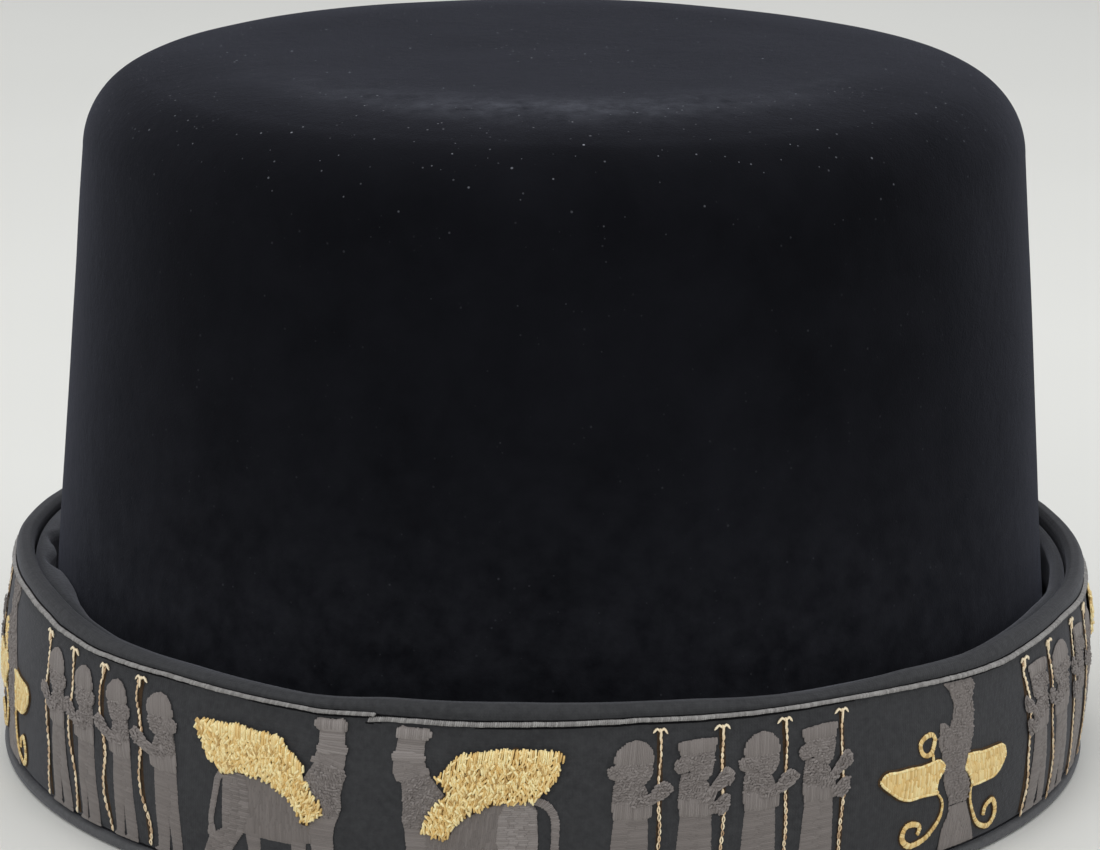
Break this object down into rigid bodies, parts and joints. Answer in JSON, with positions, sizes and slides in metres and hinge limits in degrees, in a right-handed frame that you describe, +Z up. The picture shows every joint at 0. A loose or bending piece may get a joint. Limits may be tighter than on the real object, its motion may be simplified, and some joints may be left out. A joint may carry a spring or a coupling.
{
  "type": "embroidered cap",
  "caption": "Tall oval felt cap with a flat top and a turned-up cloth cuff, embroidered with a frieze of spear bearers, winged beasts and winged emblems under a couched cord.",
  "frame": {"origin": "centre of the cap's footprint, on the surface that it stands on", "axes": "+Z up, -Y towards the front of the cap, +X to the right seen from the front"},
  "size_m": [0.1973, 0.2278, 0.1233],
  "materials": {
    "crown_felt": "black velvety fur felt",
    "welt_cloth": "charcoal cloth, rolled",
    "panel_cloth": "charcoal cloth",
    "binding_cloth": "charcoal cloth fold",
    "facing_cloth": "soft charcoal padded cloth",
    "cord_thread": "grey satin stitched cord",
    "grey_thread": "warm grey satin stitch",
    "gold_thread": "looped gold thread"
  },
  "bodies": {
    "root": {"base_welt": "welt_cloth", "border_cord": "cord_thread", "crown": "crown_felt", "cuff_panel": "panel_cloth", "emblem_1_figure": "grey_thread", "emblem_1_left_wing": "gold_thread", "emblem_1_right_wing": "gold_thread", "emblem_2_figure": "grey_thread", "emblem_2_left_wing": "gold_thread", "emblem_2_right_wing": "gold_thread", "emblem_3_figure": "grey_thread", "emblem_3_left_wing": "gold_thread", "emblem_3_right_wing": "gold_thread", "gold_wing_1": "gold_thread", "gold_wing_2": "gold_thread", "gold_wing_3": "gold_thread", "gold_wing_4": "gold_thread", "gold_wing_5": "gold_thread", "gold_wing_6": "gold_thread", "inner_facing": "facing_cloth", "rim_binding": "binding_cloth", "spear_bearer_1": "grey_thread", "spear_bearer_10": "grey_thread", "spear_bearer_11": "grey_thread", "spear_bearer_12": "grey_thread", "spear_bearer_13": "grey_thread", "spear_bearer_14": "grey_thread", "spear_bearer_15": "grey_thread", "spear_bearer_16": "grey_thread", "spear_bearer_17": "grey_thread", "spear_bearer_18": "grey_thread", "spear_bearer_19": "grey_thread", "spear_bearer_2": "grey_thread", "spear_bearer_20": "grey_thread", "spear_bearer_21": "grey_thread", "spear_bearer_22": "grey_thread", "spear_bearer_23": "grey_thread", "spear_bearer_24": "grey_thread", "spear_bearer_3": "grey_thread", "spear_bearer_4": "grey_thread", "spear_bearer_5": "grey_thread", "spear_bearer_6": "grey_thread", "spear_bearer_7": "grey_thread", "spear_bearer_8": "grey_thread", "spear_bearer_9": "grey_thread", "winged_beast_1": "grey_thread", "winged_beast_2": "grey_thread", "winged_beast_3": "grey_thread", "winged_beast_4": "grey_thread", "winged_beast_5": "grey_thread", "winged_beast_6": "grey_thread"}
  },
  "joints": []
}
